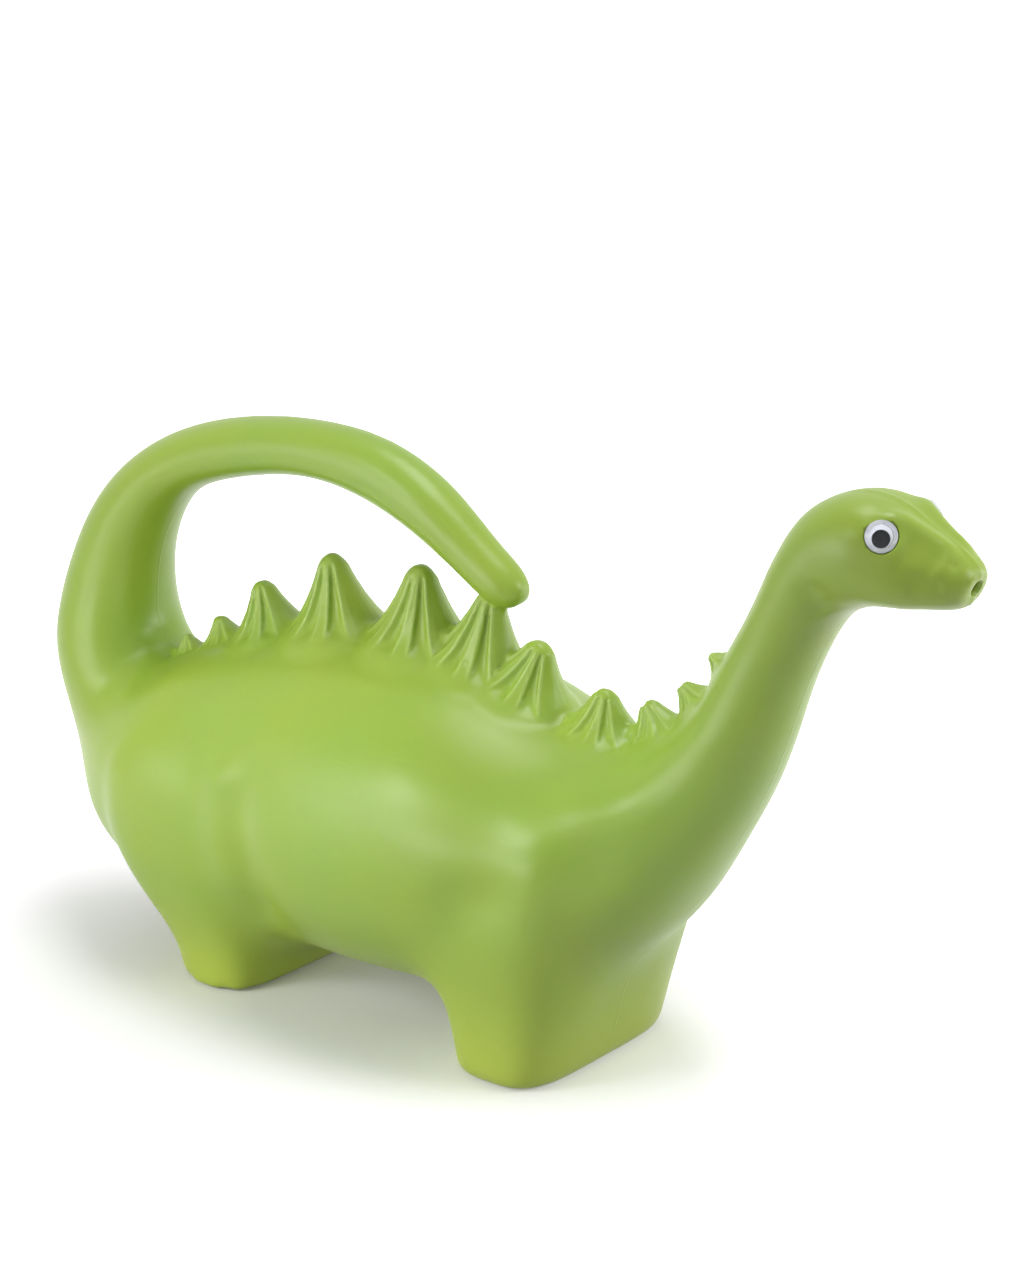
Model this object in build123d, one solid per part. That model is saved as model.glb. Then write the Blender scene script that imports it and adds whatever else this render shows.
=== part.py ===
from build123d import *
from collections import namedtuple
import math
import os

# Child's watering can shaped as a long-necked dinosaur: one hollow blow-moulded shell, whose tail is
# the handle and whose neck is the spout, with a wobbly eye glued to each side of the head.
# Millimetres, +Z up, +X towards the snout, Y = 0 on the parting plane of the mould, Z = 0 on the floor.

# Shell
WALL = 1.8

# Long form of the shell, as oval sections from the tip of the tail to the snout.
# inner is the point (x, z) on the inside of the tail, the back, the nape or the crown.
# outer is the point (x, z) on the outside of the tail, the rump, the belly, the chest or the chin.
# squareness 2 is a true oval, and more pushes its corners out.
Station = namedtuple("Station", "name inner outer half_width squareness", defaults=(2.0,))
STATIONS = (
    Station("tail tip", (45.8, 153.2), (49.6, 155.9), 3.0),
    Station("tail end", (40.8, 152.8), (50.2, 160.8), 6.2),
    Station("tail taper", (27.8, 159.0), (37.3, 172.9), 8.8),
    Station("grip front", (9.6, 169.9), (17.9, 188.0), 10.5),
    Station("grip", (-15.2, 179.5), (-9.5, 200.5), 11.0),
    Station("grip crown", (-45.0, 182.8), (-46.0, 202.8), 11.5),
    Station("grip back", (-75.5, 177.2), (-82.5, 197.2), 12.5),
    Station("tail bend", (-101.7, 165.9), (-116.5, 183.5), 14.5),
    Station("tail rise", (-115.5, 146.0), (-142.0, 160.5), 17.5),
    Station("tail swell", (-119.5, 127.0), (-156.0, 132.0), 21.5),
    Station("tail root", (-118.0, 111.5), (-159.8, 102.0), 26.5),
    Station("rump", (-107.0, 105.5), (-145.5, 64.0), 31.0),
    Station("haunch", (-92.0, 112.0), (-128.5, 36.0), 43.0),
    Station("hip", (-68.0, 120.5), (-93.0, 18.0), 48.5),
    Station("flank", (-35.0, 129.0), (-45.0, 15.0), 53.0),
    Station("belly", (5.0, 132.0), (8.0, 16.0), 58.0),
    Station("ribs", (40.0, 128.0), (62.0, 24.0), 55.0),
    Station("shoulder", (68.0, 119.5), (96.0, 40.0), 47.0),
    Station("neck root", (92.0, 117.5), (118.5, 62.0), 38.0),
    Station("neck swell", (109.5, 124.0), (135.5, 88.0), 27.0),
    Station("low neck", (123.5, 138.0), (150.2, 115.0), 20.5),
    Station("middle neck", (133.7, 156.1), (159.5, 142.0), 17.0),
    Station("high neck", (143.5, 174.5), (167.5, 162.0), 16.0),
    Station("nape", (152.0, 192.3), (175.5, 175.2), 17.0, 2.1),
    Station("jaw", (163.0, 208.6), (184.0, 180.9), 18.0, 2.2),
    Station("eyes", (179.0, 216.7), (193.0, 183.5), 18.8, 2.5),
    Station("brow", (195.5, 215.5), (202.0, 184.5), 17.6, 2.6),
    Station("muzzle", (207.3, 209.1), (210.0, 185.6), 14.4, 2.3),
    Station("lips", (217.0, 203.8), (216.5, 186.6), 10.6, 2.0),
    Station("snout", (222.2, 198.6), (219.5, 189.0), 5.8),
)
STATION_SPACING = 4.0
BACK_FROM = "rump"
BACK_STEP = 0.001
PLACE_TOLERANCE = 1e-6
FORM_RINGS = 110
FORM_POINTS = 17
SURFACE_TOLERANCE = 0.02
SINE_DIGITS = 9

# Leg blocks, each a pair of legs in one, as rounded oblong sections from the sole upwards.
LegSection = namedtuple("LegSection", "height back front half_width")
FRONT_LEGS = (
    LegSection(0.0, 45.0, 86.0, 41.5),
    LegSection(18.0, 42.5, 90.0, 43.5),
    LegSection(36.0, 36.5, 94.5, 46.5),
    LegSection(52.0, 31.0, 98.5, 49.5),
    LegSection(68.0, 31.0, 102.0, 50.5),
    LegSection(84.0, 36.0, 104.5, 48.5),
    LegSection(97.0, 46.0, 102.0, 42.0),
    LegSection(107.0, 60.0, 93.0, 31.0),
)
REAR_LEGS = (
    LegSection(0.0, -82.5, -43.0, 41.0),
    LegSection(16.0, -87.0, -42.5, 42.0),
    LegSection(30.0, -97.5, -39.0, 46.5),
    LegSection(46.0, -109.0, -35.0, 50.5),
    LegSection(64.0, -113.0, -34.5, 52.0),
    LegSection(80.0, -111.0, -36.0, 50.5),
    LegSection(93.0, -104.0, -42.0, 43.5),
    LegSection(103.0, -94.0, -52.0, 32.5),
)
LEG_SQUARENESS = 3.8
LEG_RINGS = 16
LEG_POINTS = 21

# Spikes along the back, each standing square to the back line at x.
Spike = namedtuple("Spike", "x height half_length half_width")
SPIKES = (
    Spike(-103.0, 7.0, 8.0, 7.0),
    Spike(-85.8, 9.5, 11.0, 9.0),
    Spike(-62.7, 19.5, 17.5, 14.0),
    Spike(-31.0, 27.5, 21.5, 17.0),
    Spike(5.3, 28.5, 22.5, 17.0),
    Spike(31.5, 28.5, 19.5, 16.0),
    Spike(51.3, 20.0, 20.5, 15.0),
    Spike(83.2, 15.5, 17.5, 12.5),
    Spike(106.3, 12.0, 14.5, 9.5),
    Spike(121.3, 10.0, 10.5, 8.0),
    Spike(130.7, 6.5, 7.0, 6.0),
)
# Outline of a spike from its root to its tip, as shares of its height, its half length and its flute.
SpikeRing = namedtuple("SpikeRing", "height size flute")
SPIKE_OUTLINE = (
    SpikeRing(-0.24, 1.42, 0.0),
    SpikeRing(-0.1, 1.2, 0.0),
    SpikeRing(0.0, 1.04, 0.15),
    SpikeRing(0.09, 0.9, 0.5),
    SpikeRing(0.2, 0.76, 0.9),
    SpikeRing(0.34, 0.62, 1.0),
    SpikeRing(0.48, 0.5, 1.0),
    SpikeRing(0.62, 0.4, 1.0),
    SpikeRing(0.76, 0.31, 0.8),
    SpikeRing(0.87, 0.25, 0.3),
    SpikeRing(0.95, 0.17, 0.0),
    SpikeRing(1.0, 0.03, 0.0),
)
SPIKE_FLUTES = 9
SPIKE_FLUTE = 0.2
SPIKE_POINTS = 41
SPIKE_HOLLOW_FROM = 15.0
SPIKE_HOLLOW_WALL = 3.6

# Openings of the shell
FILL_DIAMETER = 28.0
FILL_HEIGHT = 109.0
POUR_DIAMETER = 5.5
POUR_DEPTH = 11.0

# Wobbly eyes
EYE_BEHIND_SNOUT = 25.3
EYE_BELOW_CROWN = 5.9
EYE_DIAMETER = 10.0
EYE_BACK_THICKNESS = 0.6
EYE_YAW = 25.0
EYE_PITCH = 15.0
EYE_SEAT_DEPTH = 2.2
EYE_SEAT_CLEARANCE = 0.4
GLUE_DIAMETER = 7.0
GLUE_THICKNESS = 0.3
DOME_WALL = 0.4
DOME_FLANGE = 1.0
DOME_RISE = 1.0
PUPIL_DIAMETER = 5.5
PUPIL_THICKNESS = 0.6
PUPIL_CLEARANCE = 0.12


def mirrored_solid(rings):
    """Solid whose +Y half passes through rings of points, each ring running from Y = 0 round to Y = 0."""
    near = Face.make_surface_from_array_of_points(rings, tol=SURFACE_TOLERANCE, min_deg=3, max_deg=3)
    far = near.mirror(Plane.XZ)
    faces = [near, far]
    for ring in (rings[0], rings[-1]):
        side = ring[len(ring) // 2]
        other_side = Vector(side.X, -side.Y, side.Z)
        near_edge = near.edges().sort_by_distance(side)[0]
        far_edge = far.edges().sort_by_distance(other_side)[0]
        faces.append(Face(Wire([near_edge, far_edge])))
    return Solid(Shell(faces))


def even_steps(start, end, count):
    """count values from start to end, both included."""
    return [start + (end - start) * i / (count - 1) for i in range(count)]


def at(line, place):
    """Point of a line at one value of its parameter."""
    return Vector(line.geom_adaptor().Value(place))


def squared(value, squareness):
    """Sine or cosine of an oval, pushed out towards its corner."""
    return math.copysign(abs(round(value, SINE_DIGITS)) ** (2 / squareness), value)


# Lines that the stations lie on, with one shared parameter from 0 at the tail tip to 1 at the snout
station_places = [0.0]
for station, following in zip(STATIONS, STATIONS[1:]):
    middle = [(a + b) / 2 for a, b in zip(station.inner, station.outer)]
    following_middle = [(a + b) / 2 for a, b in zip(following.inner, following.outer)]
    station_places.append(station_places[-1] + math.dist(middle, following_middle) + STATION_SPACING)
station_places = [place / station_places[-1] for place in station_places]
inner_points = [Vector(station.inner[0], 0, station.inner[1]) for station in STATIONS]
outer_points = [Vector(station.outer[0], 0, station.outer[1]) for station in STATIONS]
width_points = [Vector(0, station.half_width, station.squareness) for station in STATIONS]
inner_line = Edge.make_spline(inner_points, parameters=station_places)
outer_line = Edge.make_spline(outer_points, parameters=station_places)
width_line = Edge.make_spline(width_points, parameters=station_places)
station_names = [station.name for station in STATIONS]


def long_form(start, end, inset):
    """Tail, body, neck and head between two places on the lines, drawn in by inset all round."""
    rings = []
    for place in even_steps(start, end, FORM_RINGS):
        inner = at(inner_line, place)
        outer = at(outer_line, place)
        rise = (inner - outer).normalized() * ((inner - outer).length / 2 - inset)
        half_width = at(width_line, place).Y - inset
        squareness = at(width_line, place).Z
        ring = []
        for turn in even_steps(0, math.pi, FORM_POINTS):
            height = rise * squared(math.cos(turn), squareness)
            sideways = Vector(0, half_width * squared(math.sin(turn), squareness), 0)
            ring.append((inner + outer) * 0.5 + height + sideways)
        rings.append(ring)
    return mirrored_solid(rings)


def leg_block(sections, inset):
    """One pair of legs, drawn in by inset all round."""
    heights = [leg.height for leg in sections]
    back_points = [Vector(leg.back, 0, leg.height) for leg in sections]
    front_points = [Vector(leg.front, 0, leg.height) for leg in sections]
    side_points = [Vector(0, leg.half_width, leg.height) for leg in sections]
    back_edge = Edge.make_spline(back_points, parameters=heights)
    front_edge = Edge.make_spline(front_points, parameters=heights)
    side_edge = Edge.make_spline(side_points, parameters=heights)
    rings = []
    for height in even_steps(heights[0] + inset, heights[-1] - inset, LEG_RINGS):
        back = at(back_edge, height).X + inset
        front = at(front_edge, height).X - inset
        half_width = at(side_edge, height).Y - inset
        ring = []
        for turn in even_steps(0, math.pi, LEG_POINTS):
            x = (front + back) / 2 + (front - back) / 2 * squared(math.cos(turn), LEG_SQUARENESS)
            y = half_width * squared(math.sin(turn), LEG_SQUARENESS)
            ring.append(Vector(x, y, height))
        rings.append(ring)
    return mirrored_solid(rings)


def back_place(x):
    """Place on the inner line where the back passes x."""
    low = station_places[station_names.index(BACK_FROM)]
    high = station_places[-1]
    while high - low > PLACE_TOLERANCE:
        half = (low + high) / 2
        if at(inner_line, half).X < x:
            low = half
        else:
            high = half
    return low


def spike_solid(spike, inset, flute):
    """One spike on the back, fluted on both sides and drawn in by inset."""
    place = back_place(spike.x)
    foot = at(inner_line, place)
    along = (at(inner_line, place + BACK_STEP) - foot).normalized()
    upward = Vector(-along.Z, 0, along.X)
    rings = []
    for outline in SPIKE_OUTLINE:
        centre = foot + upward * (outline.height * (spike.height - inset))
        ring = []
        for turn in even_steps(0, math.pi, SPIKE_POINTS):
            groove = (1 - math.cos(SPIKE_FLUTES * turn)) / 2 * math.sin(turn) ** 2
            size = outline.size * (1 - flute * outline.flute * groove)
            length = along * ((spike.half_length - inset) * size * math.cos(turn))
            sideways = Vector(0, (spike.half_width - inset) * size * math.sin(turn), 0)
            ring.append(centre + length + sideways)
        rings.append(ring)
    return mirrored_solid(rings)


def disc(diameter, thickness):
    """Round plate standing on the origin."""
    return Cylinder(diameter / 2, thickness, align=(Align.CENTER, Align.CENTER, Align.MIN))


form = long_form(0, 1, 0)

# Eye seat on the right side of the head, turned a little to the front and up, with its X axis downhill
right_skin = form.faces().sort_by(Axis.Y)[0]
crown_point = at(inner_line, back_place(inner_points[-1].X - EYE_BEHIND_SNOUT))
eye_line = Axis(crown_point - Vector(0, 0, EYE_BELOW_CROWN), (0, -1, 0))
skin_point = right_skin.find_intersection_points(eye_line)[-1][0]
eye_axis = Vector(0, -1, 0).rotate(Axis.X, -EYE_PITCH).rotate(Axis.Z, EYE_YAW)
eye_plane = Plane(
    origin=skin_point - eye_axis * EYE_SEAT_DEPTH,
    x_dir=eye_axis * eye_axis.Z - Vector(0, 0, 1),
    z_dir=eye_axis,
)
seat_diameter = EYE_DIAMETER + 2 * EYE_SEAT_CLEARANCE
eye_seat = eye_plane * disc(seat_diameter, EYE_DIAMETER)
seat_backing = eye_plane.offset(-WALL) * disc(seat_diameter + 2 * WALL, EYE_DIAMETER)

# Shell: the outside, then the hollow inside it
outside = form.fuse(
    leg_block(FRONT_LEGS, 0),
    leg_block(REAR_LEGS, 0),
    *[spike_solid(spike, 0, SPIKE_FLUTE) for spike in SPIKES],
)
hollow_spikes = [spike for spike in SPIKES if spike.half_length > SPIKE_HOLLOW_FROM]
hollow = long_form(station_places[1], station_places[-2], WALL).fuse(
    leg_block(FRONT_LEGS, WALL),
    leg_block(REAR_LEGS, WALL),
    *[spike_solid(spike, SPIKE_HOLLOW_WALL, SPIKE_FLUTE) for spike in hollow_spikes],
)
hollow = hollow - seat_backing - mirror(seat_backing, about=Plane.XZ)

# Filling hole in the back of the tail root and pouring hole in the tip of the snout
tail_root = STATIONS[station_names.index("tail root")]
tail_middle = (tail_root.inner[0] + tail_root.outer[0]) / 2
tail_thickness = tail_root.inner[0] - tail_root.outer[0]
fill_plane = Plane(origin=(tail_middle, 0, FILL_HEIGHT), x_dir=(0, 1, 0), z_dir=(-1, 0, 0))
fill_hole = fill_plane * disc(FILL_DIAMETER, tail_thickness)
snout_rise = inner_points[-1] - outer_points[-1]
pour_plane = Plane(
    origin=(inner_points[-1] + outer_points[-1]) * 0.5,
    x_dir=(0, 1, 0),
    z_dir=snout_rise.cross(Vector(0, -1, 0)),
)
pour_hole = pour_plane * Cylinder(POUR_DIAMETER / 2, 2 * POUR_DEPTH)

# Pieces of one eye, from the seat outwards
glue = eye_plane * disc(GLUE_DIAMETER, GLUE_THICKNESS)
eye_back = eye_plane.offset(GLUE_THICKNESS) * disc(EYE_DIAMETER, EYE_BACK_THICKNESS)
chamber_plane = eye_plane.offset(GLUE_THICKNESS + EYE_BACK_THICKNESS)
chamber_radius = EYE_DIAMETER / 2 - DOME_FLANGE - DOME_WALL
chamber_height = PUPIL_THICKNESS + 2 * PUPIL_CLEARANCE
dome_radius = chamber_radius + DOME_WALL
dome_top = chamber_height + DOME_RISE
pupil_drop = chamber_radius - PUPIL_DIAMETER / 2 - PUPIL_CLEARANCE
pupil = chamber_plane * Pos(pupil_drop, 0, PUPIL_CLEARANCE) * disc(PUPIL_DIAMETER, PUPIL_THICKNESS)
dome_outline = [
    Line((chamber_radius, 0), (EYE_DIAMETER / 2, 0)),
    Line((EYE_DIAMETER / 2, 0), (EYE_DIAMETER / 2, DOME_WALL)),
    Line((EYE_DIAMETER / 2, DOME_WALL), (dome_radius, DOME_WALL)),
    Line((dome_radius, DOME_WALL), (dome_radius, chamber_height)),
    TangentArc((0, dome_top + DOME_WALL), (dome_radius, chamber_height), tangent=(1, 0)),
    Line((0, dome_top + DOME_WALL), (0, dome_top)),
    TangentArc((0, dome_top), (chamber_radius, chamber_height), tangent=(1, 0)),
    Line((chamber_radius, chamber_height), (chamber_radius, 0)),
]
dome = chamber_plane * revolve(Plane.XZ * make_face(dome_outline), axis=Axis.Z)

# Finished pieces, with the middle of the can's length at X = 0
shell = outside - hollow - fill_hole - pour_hole - eye_seat - mirror(eye_seat, about=Plane.XZ)
box = shell.bounding_box()
centring = Pos(-(box.min.X + box.max.X) / 2, 0, 0)
pieces = {
    "body_shell": shell,
    "eye_glue_right": glue,
    "eye_back_right": eye_back,
    "pupil_right": pupil,
    "eye_dome_right": dome,
    "eye_glue_left": mirror(glue, about=Plane.XZ),
    "eye_back_left": mirror(eye_back, about=Plane.XZ),
    "pupil_left": mirror(pupil, about=Plane.XZ),
    "eye_dome_left": mirror(dome, about=Plane.XZ),
}
os.makedirs("parts", exist_ok=True)
for name, piece in pieces.items():
    export_step(centring * piece, f"parts/{name}.step")
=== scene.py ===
import bmesh
import bpy
import math
import numpy as np
from collections import namedtuple
from mathutils import Matrix, Vector
from mathutils.bvhtree import BVHTree


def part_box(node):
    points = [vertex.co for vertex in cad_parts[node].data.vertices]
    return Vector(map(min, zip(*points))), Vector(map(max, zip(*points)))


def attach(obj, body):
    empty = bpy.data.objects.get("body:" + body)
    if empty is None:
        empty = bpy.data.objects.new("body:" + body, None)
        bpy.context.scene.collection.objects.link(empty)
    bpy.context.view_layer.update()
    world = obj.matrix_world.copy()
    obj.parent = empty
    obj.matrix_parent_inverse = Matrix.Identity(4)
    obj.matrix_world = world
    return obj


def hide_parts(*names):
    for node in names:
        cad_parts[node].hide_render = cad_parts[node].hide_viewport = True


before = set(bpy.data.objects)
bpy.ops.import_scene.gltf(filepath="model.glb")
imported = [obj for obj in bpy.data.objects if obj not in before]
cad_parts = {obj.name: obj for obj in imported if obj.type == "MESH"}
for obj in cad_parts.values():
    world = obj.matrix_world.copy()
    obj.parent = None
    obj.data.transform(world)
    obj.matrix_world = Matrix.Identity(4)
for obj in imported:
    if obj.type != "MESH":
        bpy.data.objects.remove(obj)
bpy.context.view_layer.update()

MM = 0.001

# Camera at the photograph's viewing angle, and the frame that the pixels below belong to
CAMERA_AIM = Vector((-0.0289, 0.0525, 0.1195))
CAMERA_AZIMUTH = math.radians(38.5)
CAMERA_ELEVATION = math.radians(18.2)
CAMERA_DISTANCE = 1.2
CAMERA_LENS = 95.5
CAMERA_SENSOR = 36.0
CAMERA_CLIP = (0.01, 50.0)
FRAME_WIDTH = 1024
FRAME_HEIGHT = 1280

# Middle of the can's length, in millimetres from the point midway between its feet
MIDDLE_X = 31.814

# Openings of the shell and seats of the eyes, as in the solids
FILL_CENTRE = Vector((0, 0, 109.0)) * MM
FILL_RADIUS = 14.0 * MM
FILL_WALL_BEHIND = -150 * MM
FILL_CUT_X = (-210 * MM, -160 * MM)
POUR_CENTRE = Vector((220.85 - MIDDLE_X, 0, 193.8)) * MM
POUR_AXIS = Vector((9.6, 0, -2.7)).normalized()
POUR_RADIUS = 2.75 * MM
POUR_DEPTH = 11.0 * MM
POUR_MARGIN = 5.0 * MM
SEAT_RADIUS = 5.4 * MM
SEAT_HEIGHT = 10.0 * MM
EYE_YAW = math.radians(25)
EYE_PITCH = math.radians(15)
GLUE_HALF = 0.15 * MM
HOLE_SIDES = 64
POUR_SIDES = 40
# How far the middle of a face may lie off the opening's wall or floor that it belongs to: out and in
WALL_SLACK = 0.02 * MM
CHORD_SLACK = 0.3 * MM

# Meshing of the shell's skins
WELD = 0.01 * MM
OUTER_VOXEL = 2.4 * MM
INNER_VOXEL = 4.0 * MM
LEAST_WALL = 1.6 * MM
WALL_ROUNDS = 3

# Smoothing of the skins: share of the way to the neighbours' mean, and rounds
Smoothing = namedtuple("Smoothing", "pull rounds")
EVEN_VOXELS = Smoothing(0.5, 3)
SOFT_CREASES = Smoothing(0.6, 140)
SPIKE_ROOTS = Smoothing(0.5, 10)
WHOLE_SKIN = Smoothing(0.35, 3)
PLAIN_SKIN = Smoothing(0.5, 12)
HOLLOW_FIRST = Smoothing(0.4, 4)
HOLLOW_LAST = Smoothing(0.3, 2)
MASK_ROUNDS = 2

# Places below are in millimetres from midway between the feet. A window is a rise and a fall, each eased.
# Creases of the legs that are rounded: their window, least bend, and how far the rounding spreads
CREASE_X = ((-128, -118), (118, 126))
CREASE_Z = ((3, 9), (112, 120))
CREASE_BEND = 0.035
CREASE_SPREAD = 14
CREASE_GAIN = 6
CREASE_EASE = 4

# Parts of the skin with finer faces
HEAD_FROM_X = 150
HEAD_FROM_Z = 175
TIP_X = (25, 60)
TIP_FROM_Z = 146

# Finer faces are laid back on the solids' skin where they lie near it
LAY_BACK_WITHIN = 0.8 * MM
LAY_BACK_FROM_Z = 140
LAY_BACK_FROM_SHARE = 0.02

# Plain skin ends between these heights
PLAIN_Z = (120, 140)

# Ridge of the parting line on the head
PARTING_HEIGHT = 0.35
PARTING_WIDTH = 0.9
PARTING_X = (168, 185)
PARTING_FROM_Z = 188

# Back line, as (x, z) points from the rump to the upper neck
BACK = ((-107, 105.5), (-92, 112), (-68, 120.5), (-35, 129), (5, 132), (40, 128), (68, 119.5), (92, 117.5),
        (109.5, 124), (123.5, 138), (133.7, 156.1), (143.5, 174.5))

# Spikes, each square to the back line at x
Spike = namedtuple("Spike", "x height half_length half_width")
SPIKES = (
    Spike(-103, 7, 8, 7),
    Spike(-85.8, 9.5, 11, 9),
    Spike(-62.7, 19.5, 17.5, 14),
    Spike(-31, 27.5, 21.5, 17),
    Spike(5.3, 28.5, 22.5, 17),
    Spike(31.5, 28.5, 19.5, 16),
    Spike(51.3, 20, 20.5, 15),
    Spike(83.2, 15.5, 17.5, 12.5),
    Spike(106.3, 12, 14.5, 9.5),
    Spike(121.3, 10, 10.5, 8),
    Spike(130.7, 6.5, 7, 6),
)
# Bell outline of a spike: its girth by share of its height, and what still counts as the spike
BELL_SHARES = (-0.3, 0, 0.2, 0.48, 0.76, 1, 1.15)
BELL_GIRTHS = (1.5, 1.1, 0.8, 0.55, 0.38, 0.2, 0.1)
SPIKE_SHARE = (-0.3, 1.1)
SPIKE_SLACK = 1.25
ROOT_SHARE = (-0.3, 0.3)

# Flutes on the spikes' sides: the middle of each in degrees round the spike, and its strength
FLUTES = ((60, 1.0), (100, 1.0), (140, 0.6))
FLUTE_HALF = 13
FLUTE_SHARE = ((0.0, 0.14), (0.80, 0.92))
FLUTE_FULL_HEIGHT = 28
# Part of a spike that gets the finest faces, by share of its height and by turn in degrees
FINEST_SHARE = (-0.05, 1.0)
FINEST_TURN = (30, 165)
# Sizes of a flute in millimetres: on a spike of no height, and what a full height adds. The hollow takes a
# share of the flute's half width
RIM_WIDTH = (0.35, 0.35)
RIM_HEIGHT = (0.2, 0.35)
HOLLOW_DEPTH = (0.1, 0.5)
HOLLOW_SHARE = 0.62

# Relief on the skin, traced as pixels of the frame, with widths and heights in millimetres
Line = namedtuple("Line", "pixels width height")
LINES = {
    "hip fold": Line(
        ((264, 783), (246, 790), (233, 803), (234, 825), (240, 852), (250, 885), (268, 915), (296, 936)),
        6.5, -3.4),
    "thigh ridge": Line(((205, 800), (218, 830), (226, 870), (234, 905)), 9.0, 1.5),
    "neck ridge": Line(((593, 823), (635, 805), (661, 786), (688, 765), (714, 739), (735, 700)), 8.0, 0.8),
    "chest fold": Line(((588, 835), (593, 867), (600, 900)), 8.0, -2.0),
    "front leg's edge": Line(((588, 899), (593, 935), (588, 988), (580, 1040)), 9.0, 0.7),
    "front leg's fold": Line(((425, 890), (455, 906), (490, 902), (512, 880)), 8.0, -2.2),
    "tail's ridge": Line(((84, 650), (90, 690), (106, 724)), 3.5, 0.8),
    "brow": Line(
        ((868, 520), (888, 517), (905, 521), (922, 531), (938, 541), (950, 551), (962, 563)),
        3.3, 1.5),
    "hollow under the brow": Line(((896, 548), (918, 556), (942, 570)), 6.0, -1.3),
    "mouth": Line(((900, 586), (925, 587), (948, 587)), 4.5, -1.0),
    "jaw fold": Line(((806, 578), (814, 600), (828, 616)), 5.0, -1.3),
}
# Share of a line's length over which it fades in, and out
LINE_FADE = 0.25
Spot = namedtuple("Spot", "pixel radius height")
SPOTS = {
    "hip": Spot((222, 786), 8.5, 2.6),
    "shoulder": Spot((580, 812), 10.0, 1.4),
    "flank": Spot((400, 800), 26.0, 1.2),
    "eye socket": Spot((880, 538), 8.0, -0.6),
    "cheek": Spot((842, 558), 8.0, 0.8),
    "muzzle": Spot((968, 572), 6.0, 0.5),
    "nostril": Spot((954.6, 566.5), 1.5, -0.5),
}

# Thread of glue under the right eye: the pixels of its ends, and its radius at each
THREAD = ((885.5, 554.0), (888.5, 561.0))
THREAD_ROOT = 0.30 * MM
THREAD_TIP = 0.18 * MM
THREAD_SIDES = 12

# Look of the shell
SHELL_GREEN = (0.300, 0.470, 0.055)
SHELL_GREEN_WARM = (0.340, 0.480, 0.050)
# Paler lime painted towards the floor, as painted light bounced up from it, fading out by the height below
SHELL_PAINTED_BOUNCE = (0.49, 0.61, 0.075)
SHELL_RIM = (0.50, 0.66, 0.20)
PAINTED_BOUNCE_TOP = 45 * MM
RIM_SHARE = 0.55
SHELL_INPUTS = {
    "Specular IOR Level": 0.45,
    "IOR": 1.5,
    "Subsurface Weight": 0.12,
    "Subsurface Radius": (0.5, 1.0, 0.15),
    "Subsurface Scale": 0.004,
}
Noise = namedtuple("Noise", "scale detail roughness distortion", defaults=(0.0,))
CLOUDS = Noise(14.0, 2.0, 0.5)
CLOUD_STOPS = ((0.35, 0.0), (0.65, 1.0))
PATCHES = Noise(55.0, 3.0, 0.6)
ROUGHNESS_STOPS = ((0.3, 0.30), (0.7, 0.38))
RIPPLES = Noise(1.0, 2.0, 0.5, 0.6)
RIPPLE_STRETCH = (60, 60, 700)
GRAIN = Noise(900.0, 2.0, 0.6)
GRAIN_SHARE = 0.25
SEAM_HALF = 0.6 * MM
SEAM_SHARE = 1.5
Bump = namedtuple("Bump", "strength distance")
SHELL_BUMP = Bump(0.35, 0.12 * MM)
PLAIN_BUMP = Bump(0.1, 0.03 * MM)
PLAIN_DETAIL = 3.0
PLAIN_GRAIN = 0.6

# Look of the eyes' pieces, each of nearly one colour
Finish = namedtuple("Finish", "name colour shade scale inputs")
FINISHES = {
    "eye_back": Finish("eye_white", (0.86, 0.86, 0.88), (0.90, 0.90, 0.92), 700, {"Roughness": 0.35}),
    "pupil": Finish("pupil_black", (0.010, 0.010, 0.011), (0.016, 0.016, 0.017), 900,
                    {"Roughness": 0.3, "Specular IOR Level": 0.1}),
    "eye_dome": Finish("clear_dome", (0.96, 0.97, 1.0), (0.93, 0.95, 0.98), 1500,
                       {"Roughness": 0.06, "Transmission Weight": 1.0, "IOR": 1.2}),
    "eye_glue": Finish("glue", (0.86, 0.90, 0.78), (0.78, 0.84, 0.66), 900,
                       {"Roughness": 0.25, "Transmission Weight": 0.4, "IOR": 1.48}),
}

# Floor and world: white where they are seen, darker where they light the can
WORLD_LIGHT = 0.21
FLOOR_HALF = 6.0
FLOOR_ROUGHNESS = 0.9
FLOOR_BOUNCE = (0.45, 0.45, 0.45)
FLOOR_PALE = (0.93, 0.92, 0.95)
# The floor's own glow, which grows with the distance from the middle of the can's shadow
FLOOR_SHADE = (-0.06, -0.01, 0.0)
FLOOR_WHITE_FROM = 0.03
FLOOR_WHITE_TO = 0.30
FLOOR_NEAR_GLOW = 0.05
WHITE = (1, 1, 1, 1)

# Lamps, each facing a place on the can, with angles in degrees
REAR = Vector((-0.10, 0, 0.12))
MIDDLE = Vector((0, 0, 0.12))
FRONT = Vector((0.10, 0, 0.12))
LEGS = Vector((0, -0.04, 0.065))
Lamp = namedtuple("Lamp", "name target azimuth elevation distance size power spread", defaults=(180,))
LAMPS = (
    Lamp("left_near", REAR, -20, 8, 0.5, (0.4, 0.3), 1.12),
    Lamp("key", LEGS, -24, 34, 0.9, (0.25, 0.25), 0.085, 36),
    Lamp("front_low", LEGS, -8, 5, 0.8, (0.25, 0.25), 0.034, 32),
    Lamp("top", MIDDLE, 140, 85, 0.9, (0.6, 0.4), 4.3),
    Lamp("right", MIDDLE, 105, 26, 0.9, (0.3, 0.3), 1.8),
    Lamp("right_low", FRONT, 140, 6, 0.85, (0.45, 0.3), 2.1),
)


def direction(azimuth, elevation):
    """Unit vector from the object towards a viewer at these angles."""
    level = math.cos(elevation)
    return Vector((math.sin(azimuth) * level, -math.cos(azimuth) * level, math.sin(elevation)))


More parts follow.
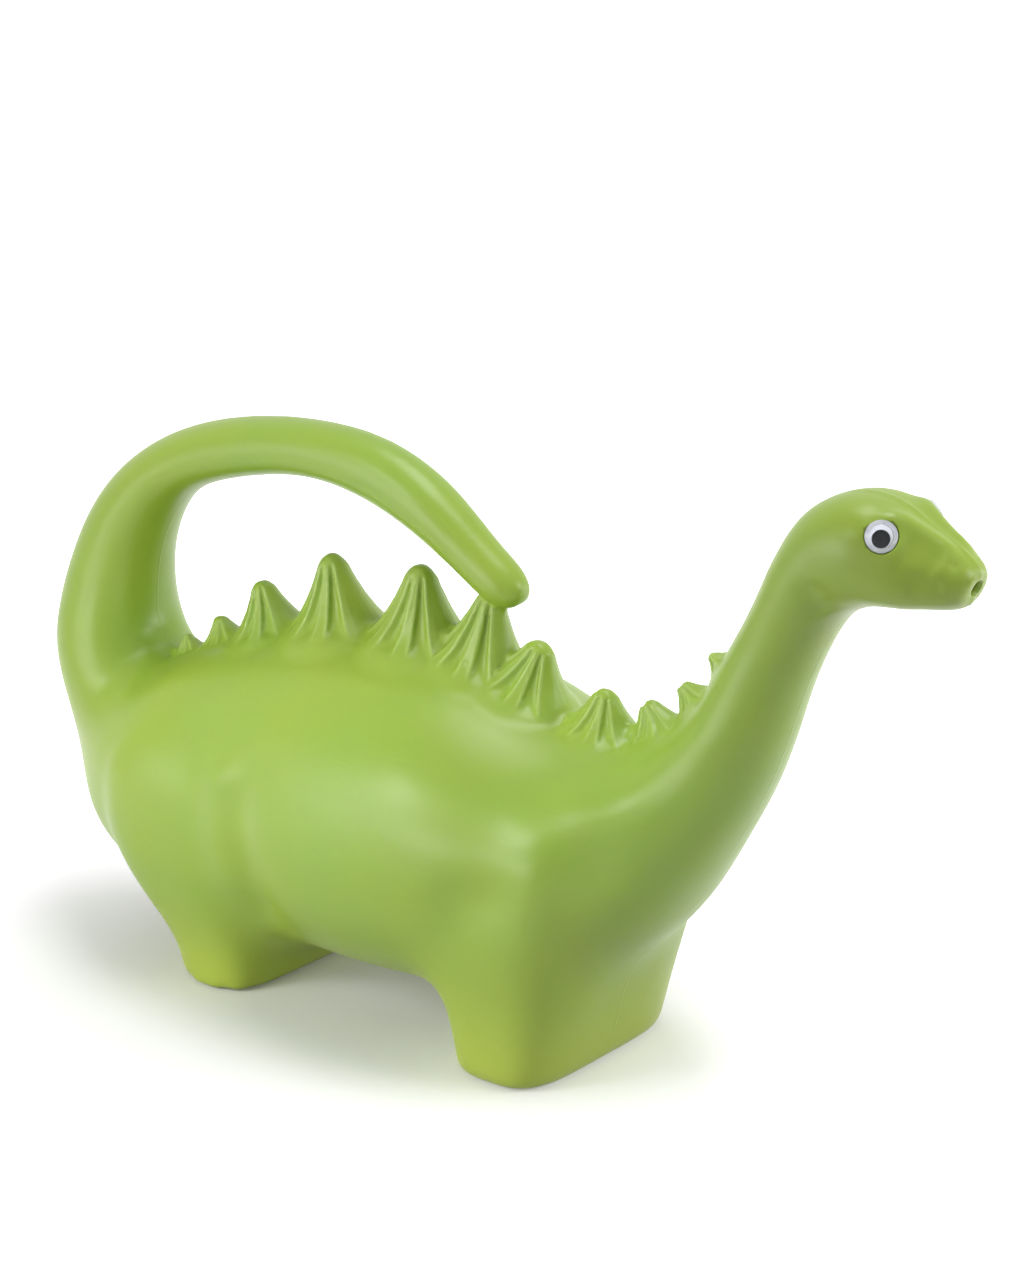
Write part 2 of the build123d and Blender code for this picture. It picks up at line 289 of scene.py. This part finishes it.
# Seat of the right eye, at the back of its glue
EYE_AXIS = direction(EYE_YAW, EYE_PITCH)
glue_low, glue_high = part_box("eye_glue_right")
SEAT_CENTRE = (Vector(glue_low) + Vector(glue_high)) / 2 - EYE_AXIS * GLUE_HALF


# Meshes as arrays

def new_object(name, mesh):
    thing = bpy.data.objects.new(name, mesh)
    bpy.context.scene.collection.objects.link(thing)
    return thing


def new_mesh(name, work):
    """Mesh made from a bmesh, which is freed."""
    mesh = bpy.data.meshes.new(name)
    work.to_mesh(mesh)
    work.free()
    return mesh


def get_points(mesh):
    points = np.empty(len(mesh.vertices) * 3)
    mesh.vertices.foreach_get("co", points)
    return points.reshape(-1, 3)


def set_points(mesh, points):
    mesh.vertices.foreach_set("co", points.ravel())
    mesh.update()


def get_normals(mesh):
    normals = np.empty(len(mesh.vertices) * 3)
    mesh.vertex_normals.foreach_get("vector", normals)
    return normals.reshape(-1, 3)


def get_edges(mesh):
    edges = np.empty(len(mesh.edges) * 2, np.int32)
    mesh.edges.foreach_get("vertices", edges)
    return edges.reshape(-1, 2)


def neighbour_mean(values, edges):
    """Mean of each point's neighbours."""
    count = len(values)
    degree = np.bincount(edges.ravel(), minlength=count)
    columns = []
    for column in np.atleast_2d(values.T):
        total = np.bincount(edges[:, 0], column[edges[:, 1]], count)
        total += np.bincount(edges[:, 1], column[edges[:, 0]], count)
        columns.append(total / degree)
    return np.array(columns).T.reshape(values.shape)


def smoothed(points, edges, smoothing, mask=1.0):
    """Points drawn towards the mean of their neighbours, where the mask says."""
    weight = np.broadcast_to(smoothing.pull * np.asarray(mask, float), len(points))[:, None]
    for _ in range(smoothing.rounds):
        points = points + weight * (neighbour_mean(points, edges) - points)
    return points


def spread(mask, edges, rounds):
    """Mask that reaches one point further with each round, and fades there."""
    for _ in range(rounds):
        mask = 0.5 * mask + 0.5 * neighbour_mean(mask, edges)
    return mask


def step(value, low, high):
    """0 below low, 1 above high, eased between."""
    share = np.clip((value - low) / (high - low), 0, 1)
    return share * share * (3 - 2 * share)


def window(value, rise, fall):
    """1 between the rise and the fall, 0 outside them, eased over each."""
    return step(value, *rise) * (1 - step(value, *fall))


def between(value, limits):
    return (value > limits[0]) & (value < limits[1])


def from_feet(points):
    """Points in millimetres from midway between the feet."""
    return np.array(points) / MM + (MIDDLE_X, 0, 0)


def folded(points):
    """Points in millimetres from midway between the feet, folded on to the right side."""
    places = from_feet(points)
    places[:, 1] = -np.abs(places[:, 1])
    return places


def tree_of(mesh):
    """Tree for finding places on a mesh."""
    work = bmesh.new()
    work.from_mesh(mesh)
    tree = BVHTree.FromBMesh(work)
    work.free()
    return tree


def nearest_on(tree, points):
    """Nearest place on a surface to each point."""
    return np.array([tree.find_nearest(point)[0] for point in points])


def on_skin(tree, pixel):
    """Point of the skin that the camera sees at a pixel."""
    back = direction(CAMERA_AZIMUTH, CAMERA_ELEVATION)
    turn = (-back).to_track_quat("-Z", "Y")
    reach = CAMERA_LENS / CAMERA_SENSOR * FRAME_HEIGHT
    ray = turn @ Vector((pixel[0] - FRAME_WIDTH / 2, FRAME_HEIGHT / 2 - pixel[1], -reach)).normalized()
    return tree.ray_cast(CAMERA_AIM + back * CAMERA_DISTANCE, ray)[0]


def evaluated(thing):
    """Mesh of an object after its modifiers. The object is removed."""
    bpy.context.view_layer.update()
    seen = thing.evaluated_get(bpy.context.evaluated_depsgraph_get())
    mesh = bpy.data.meshes.new_from_object(seen)
    bpy.data.objects.remove(thing)
    return mesh


def remeshed(mesh, voxel):
    """Mesh of even faces over the same form."""
    thing = new_object("work", mesh)
    modifier = thing.modifiers.new("remesh", "REMESH")
    modifier.mode = "VOXEL"
    modifier.voxel_size = voxel
    return evaluated(thing)


def cut(mesh, tools):
    """Mesh less the tools, which are removed."""
    thing = new_object("work", mesh)
    for tool in tools:
        modifier = thing.modifiers.new("cut", "BOOLEAN")
        modifier.operation = "DIFFERENCE"
        modifier.solver = "MANIFOLD"
        modifier.object = tool
    made = evaluated(thing)
    for tool in tools:
        bpy.data.objects.remove(tool)
    return made


def subdivided(mesh, chosen):
    """Mesh with the faces round the chosen points cut in four."""
    work = bmesh.new()
    work.from_mesh(mesh)
    edges = [edge for edge in work.edges if chosen[edge.verts[0].index] and chosen[edge.verts[1].index]]
    bmesh.ops.subdivide_edges(work, edges=edges, cuts=1, use_grid_fill=True)
    return new_mesh("skin", work)


def bar(name, start, end, start_radius, end_radius, sides):
    """Closed round bar between two points."""
    axis = end - start
    place = Matrix.Translation((start + end) / 2) @ axis.to_track_quat("Z", "Y").to_matrix().to_4x4()
    work = bmesh.new()
    bmesh.ops.create_cone(work, cap_ends=True, segments=sides, radius1=start_radius, radius2=end_radius,
                          depth=axis.length, matrix=place)
    return new_object(name, new_mesh(name, work))


# Skins of the shell, from its solid

def off_axis(points, centre, axis):
    """Distance along an axis and distance from it, of each point."""
    offset = points - np.array(centre)
    along = offset @ np.array(axis)
    away = np.linalg.norm(offset - along[:, None] * np.array(axis), axis=1)
    return along, away


def opening_faces(centres):
    """Which faces, given by their centres, are walls of a hole or of an eye's seat."""
    away = off_axis(centres, FILL_CENTRE, (1, 0, 0))[1]
    fill = between(away, (FILL_RADIUS - CHORD_SLACK, FILL_RADIUS + WALL_SLACK))
    fill &= centres[:, 0] < FILL_WALL_BEHIND
    along, away = off_axis(centres, POUR_CENTRE, POUR_AXIS)
    pour = (np.abs(along) < POUR_DEPTH + POUR_MARGIN) & (away < POUR_RADIUS + WALL_SLACK)
    seats = np.zeros(len(centres), bool)
    for side in (1, -1):
        along, away = off_axis(centres * (1, side, 1), SEAT_CENTRE, EYE_AXIS)
        seats |= between(along, (-CHORD_SLACK, SEAT_HEIGHT)) & (away < SEAT_RADIUS + WALL_SLACK)
    return fill | pour | seats


def joined_points(work):
    """Sets of points that edges join, the largest first."""
    islands = []
    left = set(work.verts)
    while left:
        seed = left.pop()
        island = {seed}
        border = [seed]
        while border:
            vert = border.pop()
            for edge in vert.link_edges:
                other = edge.other_vert(vert)
                if other in left:
                    left.discard(other)
                    island.add(other)
                    border.append(other)
        islands.append(island)
    return sorted(islands, key=len, reverse=True)


def skins(solid):
    """Outer and inner skin of the shell, each closed over its openings."""
    work = bmesh.new()
    work.from_mesh(solid.data)
    bmesh.ops.remove_doubles(work, verts=work.verts, dist=WELD)
    marked = opening_faces(np.array([face.calc_center_median() for face in work.faces]))
    walls = [face for face, is_wall in zip(work.faces, marked) if is_wall]
    bmesh.ops.delete(work, geom=walls, context="FACES")
    outer_first = sorted(joined_points(work)[:2], key=lambda island: min(vert.co.z for vert in island))
    meshes = []
    for island in outer_first:
        part = bmesh.new()
        made = {vert: part.verts.new(vert.co) for vert in work.verts if vert in island}
        for face in work.faces:
            if face.verts[0] in made:
                part.faces.new([made[vert] for vert in face.verts])
        borders = [edge for edge in part.edges if edge.is_boundary]
        bmesh.ops.holes_fill(part, edges=borders, sides=0)
        bmesh.ops.recalc_face_normals(part, faces=part.faces)
        meshes.append(new_mesh("skin", part))
    work.free()
    return meshes


# Spikes

def back_at(x):
    """Height and slope of the back line at x, on a smooth curve through its points."""
    knots = np.array(BACK, float)
    slopes = np.gradient(knots[:, 1], knots[:, 0])
    i = int(np.clip(np.searchsorted(knots[:, 0], x) - 1, 0, len(knots) - 2))
    start, end = knots[i, 1], knots[i + 1, 1]
    span = knots[i + 1, 0] - knots[i, 0]
    u = (x - knots[i, 0]) / span
    z = (2 * u**3 - 3 * u**2 + 1) * start + (u**3 - 2 * u**2 + u) * span * slopes[i]
    z += (-2 * u**3 + 3 * u**2) * end + (u**3 - u**2) * span * slopes[i + 1]
    slope = (6 * u**2 - 6 * u) * (start - end) / span
    slope += (3 * u**2 - 4 * u + 1) * slopes[i] + (3 * u**2 - 2 * u) * slopes[i + 1]
    return z, slope


def spike_coordinates(points):
    """Spike of each point or -1, share of its height, turn round it in degrees, and girth in millimetres."""
    best = np.full(len(points), SPIKE_SLACK)
    which = np.full(len(points), -1)
    share = np.zeros(len(points))
    turn = np.zeros(len(points))
    girth = np.zeros(len(points))
    for number, spike in enumerate(SPIKES):
        z, slope = back_at(spike.x)
        foot = np.array((spike.x - MIDDLE_X, 0, z)) * MM
        along = np.array((1, 0, slope)) / math.hypot(1, slope)
        upward = np.array((-along[2], 0, along[0]))
        offset = (points - foot) / MM
        u = offset @ along / spike.half_length
        v = np.abs(offset[:, 1]) / spike.half_width
        height = offset @ upward / spike.height
        radius = np.hypot(u, v)
        score = radius / np.interp(height, BELL_SHARES, BELL_GIRTHS)
        nearer = (score < best) & between(height, SPIKE_SHARE)
        best[nearer] = score[nearer]
        which[nearer] = number
        share[nearer] = height[nearer]
        turn[nearer] = np.degrees(np.arctan2(v, u))[nearer]
        girth[nearer] = (radius * spike.half_length)[nearer]
    return which, share, turn, girth


def sized(size, share):
    """Flute size on a spike of this share of the full height."""
    return size[0] + size[1] * share


def flutes(points):
    """Move along the normal that the spikes' flutes give each point, and how far the point is on a rim."""
    which, share, turn, girth = spike_coordinates(points)
    full = np.array([spike.height for spike in SPIKES] + [0.0])[which] / FLUTE_FULL_HEIGHT
    fluted = window(share, *FLUTE_SHARE) * (which >= 0)
    move = np.zeros(len(points))
    rim = np.zeros(len(points))
    for middle, strength in FLUTES:
        offset = turn - middle
        arc = np.radians(np.abs(np.abs(offset) - FLUTE_HALF)) * girth
        crest = strength * np.exp(-(arc / sized(RIM_WIDTH, full)) ** 2)
        hollow = strength * np.exp(-(offset / (HOLLOW_SHARE * FLUTE_HALF)) ** 4)
        move += sized(RIM_HEIGHT, full) * crest - sized(HOLLOW_DEPTH, full) * hollow
        rim += crest
    return move * fluted * MM, rim * fluted


# Outer skin

def soften_creases(mesh):
    """Round the creases where the legs leave the body."""
    points = get_points(mesh)
    edges = get_edges(mesh)
    normals = get_normals(mesh)
    bend = 1 - np.einsum("ij,ij->i", normals[edges[:, 0]], normals[edges[:, 1]])
    sharp = np.zeros(len(points))
    np.maximum.at(sharp, edges[:, 0], bend)
    np.maximum.at(sharp, edges[:, 1], bend)
    place = folded(points)
    body = window(place[:, 2], *CREASE_Z) * window(place[:, 0], *CREASE_X)
    which, share = spike_coordinates(points)[:2]
    body *= (which < 0) | (share < 0)
    crease = spread((sharp > CREASE_BEND) * body, edges, CREASE_SPREAD)
    crease = np.clip(crease * CREASE_GAIN, 0, 1) * body
    crease = spread(crease, edges, CREASE_EASE) * (body > 0)
    set_points(mesh, smoothed(points, edges, SOFT_CREASES, crease))


def refined(mesh, tree):
    """Mesh with finer faces on the spikes, head and tail's tip, and which of its points are on spikes."""
    points = get_points(mesh)
    place = folded(points)
    head = (place[:, 0] > HEAD_FROM_X) & (place[:, 2] > HEAD_FROM_Z)
    tip = between(place[:, 0], TIP_X) & (place[:, 2] > TIP_FROM_Z)
    mesh = subdivided(mesh, (spike_coordinates(points)[0] >= 0) | head | tip)
    which, share, turn = spike_coordinates(get_points(mesh))[:3]
    mesh = subdivided(mesh, (which >= 0) & between(share, FINEST_SHARE) & between(turn, FINEST_TURN))

    points = get_points(mesh)
    edges = get_edges(mesh)
    which, share = spike_coordinates(points)[:2]
    on_spike = which >= 0
    onto = nearest_on(tree, points)
    near = np.linalg.norm(onto - points, axis=1) < LAY_BACK_WITHIN
    near &= (on_spike & (share > LAY_BACK_FROM_SHARE)) | (folded(points)[:, 2] > LAY_BACK_FROM_Z)
    points[near] = onto[near]
    root = (on_spike & between(share, ROOT_SHARE)).astype(float)
    points = smoothed(points, edges, SPIKE_ROOTS, spread(root, edges, MASK_ROUNDS))
    set_points(mesh, smoothed(points, edges, WHOLE_SKIN))
    return mesh, on_spike


def line_distance(points, line):
    """Distance of each point from a line of straight runs, and its share of the line's length."""
    lengths = np.linalg.norm(np.diff(line, axis=0), axis=1)
    starts = np.concatenate(([0], np.cumsum(lengths)))
    best = np.full(len(points), np.inf)
    share = np.zeros(len(points))
    for a, b, start, length in zip(line, line[1:], starts, lengths):
        t = np.clip((points - a) @ (b - a) / length**2, 0, 1)
        distance = np.linalg.norm(points - a - t[:, None] * (b - a), axis=1)
        nearer = distance < best
        best[nearer] = distance[nearer]
        share[nearer] = ((start + t * length) / starts[-1])[nearer]
    return best, share


def line_relief(points, tree, line):
    """Move along the normals in a soft band along a line, on both sides of the can."""
    traced = np.array([from_feet(on_skin(tree, pixel)) for pixel in line.pixels])
    distance, share = line_distance(folded(points), traced)
    ends = step(share, 0, LINE_FADE) * step(1 - share, 0, LINE_FADE)
    return line.height * MM * np.exp(-(distance / line.width) ** 2) * ends


def spot_relief(points, tree, spot):
    """Move along the normals in a soft round spot, on both sides of the can."""
    distance = np.linalg.norm(folded(points) - from_feet(on_skin(tree, spot.pixel)), axis=1)
    return spot.height * MM * np.exp(-(distance / spot.radius) ** 2)


def add_relief(mesh, on_spike):
    """Folds, bumps, parting ridge and flutes on the outer skin."""
    points = get_points(mesh)
    edges = get_edges(mesh)
    normals = get_normals(mesh)
    tree = tree_of(mesh)
    for line in LINES.values():
        points = points + normals * line_relief(points, tree, line)[:, None]
    for spot in SPOTS.values():
        points = points + normals * spot_relief(points, tree, spot)[:, None]
    plain = ~on_spike * (1 - step(folded(points)[:, 2], *PLAIN_Z))
    points = smoothed(points, edges, PLAIN_SKIN, spread(plain, edges, MASK_ROUNDS) * plain)
    place = folded(points)
    parting = np.exp(-(place[:, 1] / PARTING_WIDTH) ** 2) * step(place[:, 0], *PARTING_X)
    parting *= place[:, 2] > PARTING_FROM_Z
    points = points + normals * (PARTING_HEIGHT * MM * parting)[:, None]
    points = points + normals * flutes(points)[0][:, None]
    points[:, 2] = np.maximum(points[:, 2], 0)
    set_points(mesh, points)


# Shell and glue

def outer_mesh(skin):
    """Sculpted outer skin of the shell."""
    tree = tree_of(skin)
    mesh = remeshed(skin, OUTER_VOXEL)
    points = smoothed(get_points(mesh), get_edges(mesh), EVEN_VOXELS)
    set_points(mesh, nearest_on(tree, points))
    soften_creases(mesh)
    mesh, on_spike = refined(mesh, tree)
    add_relief(mesh, on_spike)
    return mesh


def hollow_object(skin, outer):
    """Inside of the shell, held clear of the sculpted skin."""
    mesh = remeshed(skin, INNER_VOXEL)
    edges = get_edges(mesh)
    points = smoothed(get_points(mesh), edges, HOLLOW_FIRST)
    set_points(mesh, points)
    normals = get_normals(mesh)
    tree = tree_of(outer)
    for _ in range(WALL_ROUNDS):
        gaps = []
        for point in points:
            place, normal, face, distance = tree.find_nearest(point)
            outside = (Vector(point) - place).dot(normal) > 0
            gaps.append(-distance if outside else distance)
        short = np.clip(LEAST_WALL - np.array(gaps), 0, None)
        points = points - normals * short[:, None]
    set_points(mesh, smoothed(points, edges, HOLLOW_LAST))
    return new_object("hollow", mesh)


def build_shell():
    """Hollow shell with its holes and eye seats, and the flutes' rims as an attribute."""
    outer_skin, inner_skin = skins(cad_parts["body_shell"])
    outer = outer_mesh(outer_skin)
    fill_ends = [Vector((x, 0, FILL_CENTRE.z)) for x in FILL_CUT_X]
    pour_ends = [POUR_CENTRE - POUR_AXIS * POUR_DEPTH, POUR_CENTRE + POUR_AXIS * POUR_DEPTH]
    tools = [
        hollow_object(inner_skin, outer),
        bar("fill", *fill_ends, FILL_RADIUS, FILL_RADIUS, HOLE_SIDES),
        bar("pour", *pour_ends, POUR_RADIUS, POUR_RADIUS, POUR_SIDES),
    ]
    for side in (1, -1):
        flip = Matrix.Diagonal((1, side, 1))
        seat_ends = [flip @ SEAT_CENTRE, flip @ (SEAT_CENTRE + EYE_AXIS * SEAT_HEIGHT)]
        tools.append(bar("seat", *seat_ends, SEAT_RADIUS, SEAT_RADIUS, HOLE_SIDES))
    mesh = cut(outer, tools)
    for face in mesh.polygons:
        face.use_smooth = True
    layer = mesh.attributes.new("rim", "FLOAT", "POINT")
    layer.data.foreach_set("value", flutes(get_points(mesh))[1].astype(np.float32))
    return new_object("shell", mesh)


def glue_thread(skin):
    """Thin thread of glue that hangs on the skin under the right eye."""
    tree = tree_of(skin)
    root, tip = [on_skin(tree, pixel) for pixel in THREAD]
    return bar("glue_thread", root, tip, THREAD_ROOT, THREAD_TIP, THREAD_SIDES)


# Materials

class Nodes:
    """Nodes of a material or a world, and short ways to add to them."""

    def __init__(self, tree):
        self.nodes = tree.nodes
        self.link = tree.links.new

    def plug(self, socket, value):
        """Set a socket to a value, or link it to an output."""
        if hasattr(value, "is_output"):
            self.link(value, socket)
        elif socket.type == "RGBA":
            socket.default_value = (*value, 1)
        else:
            socket.default_value = value

    def mapped(self, source, start, end, low=0.0, high=1.0):
        """Low where the source is at start, high where it is at end, eased between."""
        node = self.nodes.new("ShaderNodeMapRange")
        node.interpolation_type = "SMOOTHSTEP"
        self.link(source, node.inputs["Value"])
        for name, value in (("From Min", start), ("From Max", end), ("To Min", low), ("To Max", high)):
            node.inputs[name].default_value = value
        return node.outputs["Result"]

    def ramp(self, source, stops):
        """Grey level by a source, between two stops of place and level."""
        node = self.nodes.new("ShaderNodeValToRGB")
        for element, (place, level) in zip(node.color_ramp.elements, stops):
            element.position = place
            element.color = (level, level, level, 1)
        self.link(source, node.inputs["Fac"])
        return node.outputs["Color"]

    def mixed(self, share, first, second):
        """Blend of two colours, each a colour or an output."""
        node = self.nodes.new("ShaderNodeMix")
        node.data_type = "RGBA"
        for name, kind, value in (("Factor", "VALUE", share), ("A", "RGBA", first), ("B", "RGBA", second)):
            self.plug(next(s for s in node.inputs if s.name == name and s.type == kind), value)
        return next(output for output in node.outputs if output.type == "RGBA")

    def arithmetic(self, operation, *values):
        node = self.nodes.new("ShaderNodeMath")
        node.operation = operation
        for socket, value in zip(node.inputs, values):
            self.plug(socket, value)
        return node.outputs["Value"]

    def noise(self, where, noise):
        node = self.nodes.new("ShaderNodeTexNoise")
        self.link(where, node.inputs["Vector"])
        node.inputs["Scale"].default_value = noise.scale
        node.inputs["Detail"].default_value = noise.detail
        node.inputs["Roughness"].default_value = noise.roughness
        node.inputs["Distortion"].default_value = noise.distortion
        return node.outputs["Fac"]

    def bump(self, height, bump):
        node = self.nodes.new("ShaderNodeBump")
        node.inputs["Strength"].default_value = bump.strength
        node.inputs["Distance"].default_value = bump.distance
        self.link(height, node.inputs["Height"])
        return node.outputs["Normal"]

    def place(self):
        """Place on the object."""
        return self.nodes.new("ShaderNodeTexCoord").outputs["Object"]

    def seen(self):
        """1 to the camera, to reflections and through clear pieces, and 0 to light that bounces."""
        path = self.nodes.new("ShaderNodeLightPath").outputs
        seen = self.arithmetic("MAXIMUM", path["Is Camera Ray"], path["Is Glossy Ray"])
        return self.arithmetic("MAXIMUM", seen, path["Is Transmission Ray"])


def new_material(name):
    """Material, its nodes and the sockets of its shader."""
    material = bpy.data.materials.new(name)
    material.use_nodes = True
    return material, Nodes(material.node_tree), material.node_tree.nodes["Principled BSDF"].inputs


def shell_material():
    material, make, shader = new_material("green_shell")
    where = make.place()
    split = make.nodes.new("ShaderNodeSeparateXYZ")
    make.link(where, split.inputs["Vector"])
    for name, value in SHELL_INPUTS.items():
        shader[name].default_value = value

    # Colour: soft cloudiness, a paler lime painted on low down as painted bounce light from the floor, pale
    # rims on the flutes
    cloud = make.ramp(make.noise(where, CLOUDS), CLOUD_STOPS)
    green = make.mixed(cloud, SHELL_GREEN, SHELL_GREEN_WARM)
    # Painted bounce light: paler lime blended in from that height down to the floor
    green = make.mixed(make.mapped(split.outputs["Z"], PAINTED_BOUNCE_TOP, 0.0), green, SHELL_PAINTED_BOUNCE)
    rim = make.nodes.new("ShaderNodeAttribute")
    rim.attribute_name = "rim"
    rim_share = make.arithmetic("MULTIPLY", rim.outputs["Fac"], RIM_SHARE)
    make.link(make.mixed(rim_share, green, SHELL_RIM), shader["Base Color"])

    # Gloss: satin, with slow unevenness
    make.link(make.ramp(make.noise(where, PATCHES), ROUGHNESS_STOPS), shader["Roughness"])

    # Relief: fine level ripples of the flow, a faint grain and the parting line
    stretch = make.nodes.new("ShaderNodeMapping")
    stretch.inputs["Scale"].default_value = RIPPLE_STRETCH
    make.link(where, stretch.inputs["Vector"])
    ripples = make.noise(stretch.outputs["Vector"], RIPPLES)
    grain = make.arithmetic("MULTIPLY", make.noise(where, GRAIN), GRAIN_SHARE)
    seam = make.mapped(make.arithmetic("ABSOLUTE", split.outputs["Y"]), SEAM_HALF, 0.0)
    height = make.arithmetic("ADD", ripples, grain)
    height = make.arithmetic("ADD", height, make.arithmetic("MULTIPLY", seam, SEAM_SHARE))
    make.link(make.bump(height, SHELL_BUMP), shader["Normal"])
    return material


def plain_material(finish):
    """Plastic or glue of nearly one colour, with a faint unevenness."""
    material, make, shader = new_material(finish.name)
    uneven = make.noise(make.place(), Noise(finish.scale, PLAIN_DETAIL, PLAIN_GRAIN))
    make.link(make.mixed(uneven, finish.colour, finish.shade), shader["Base Color"])
    make.link(make.bump(uneven, PLAIN_BUMP), shader["Normal"])
    for name, value in finish.inputs.items():
        shader[name].default_value = value
    return material


def floor_material():
    """Pale floor that keeps the shadow near the can and turns white away from it."""
    material, make, shader = new_material("pale_floor")
    shader["Roughness"].default_value = FLOOR_ROUGHNESS
    shader["Emission Color"].default_value = WHITE
    distance = make.nodes.new("ShaderNodeVectorMath")
    distance.operation = "DISTANCE"
    make.link(make.place(), distance.inputs[0])
    distance.inputs[1].default_value = FLOOR_SHADE
    glow = make.mapped(distance.outputs["Value"], FLOOR_WHITE_FROM, FLOOR_WHITE_TO, FLOOR_NEAR_GLOW, 1.0)
    seen = make.seen()
    make.link(make.mixed(seen, FLOOR_BOUNCE, FLOOR_PALE), shader["Base Color"])
    make.link(make.arithmetic("MULTIPLY", seen, glow), shader["Emission Strength"])
    return material


# Stage

def add_floor():
    mesh = bpy.data.meshes.new("floor")
    corners = [(-1, -1), (1, -1), (1, 1), (-1, 1)]
    mesh.from_pydata([(x * FLOOR_HALF, y * FLOOR_HALF, 0) for x, y in corners], [], [(0, 1, 2, 3)])
    floor = new_object("floor", mesh)
    mesh.materials.append(floor_material())


def add_world():
    """White to the camera and in reflections, softer as a light."""
    world = bpy.data.worlds.new("studio")
    world.use_nodes = True
    make = Nodes(world.node_tree)
    background = make.nodes["Background"].inputs
    background["Color"].default_value = WHITE
    make.link(make.mapped(make.seen(), 0.0, 1.0, WORLD_LIGHT, 1.0), background["Strength"])
    bpy.context.scene.world = world


def face_target(thing, target, towards, distance):
    """Place a camera or lamp at a distance from its target, facing it."""
    thing.location = target + towards * distance
    thing.rotation_mode = "QUATERNION"
    thing.rotation_quaternion = (-towards).to_track_quat("-Z", "Y")


def add_camera():
    data = bpy.data.cameras.new("camera")
    data.lens = CAMERA_LENS
    data.sensor_width = CAMERA_SENSOR
    data.clip_start, data.clip_end = CAMERA_CLIP
    camera = new_object("camera", data)
    face_target(camera, CAMERA_AIM, direction(CAMERA_AZIMUTH, CAMERA_ELEVATION), CAMERA_DISTANCE)
    bpy.context.scene.camera = camera


def add_lamp(lamp):
    data = bpy.data.lights.new(lamp.name, "AREA")
    data.shape = "RECTANGLE"
    data.size, data.size_y = lamp.size
    data.energy = lamp.power
    data.spread = math.radians(lamp.spread)
    towards = direction(math.radians(lamp.azimuth), math.radians(lamp.elevation))
    face_target(new_object(lamp.name, data), lamp.target, towards, lamp.distance)


bpy.context.scene.view_settings.view_transform = "Standard"
add_camera()
add_world()
add_floor()
for lamp in LAMPS:
    add_lamp(lamp)

shell = build_shell()
shell.data.materials.clear()
shell.data.materials.append(shell_material())
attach(shell, "can")
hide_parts("body_shell")

finishes = {kind: plain_material(finish) for kind, finish in FINISHES.items()}
thread = glue_thread(shell.data)
thread.data.materials.append(finishes["eye_glue"])
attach(thread, "can")

for name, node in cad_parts.items():
    kind = name.rsplit("_", 1)[0]
    if kind in finishes:
        node.data.materials[0] = finishes[kind]
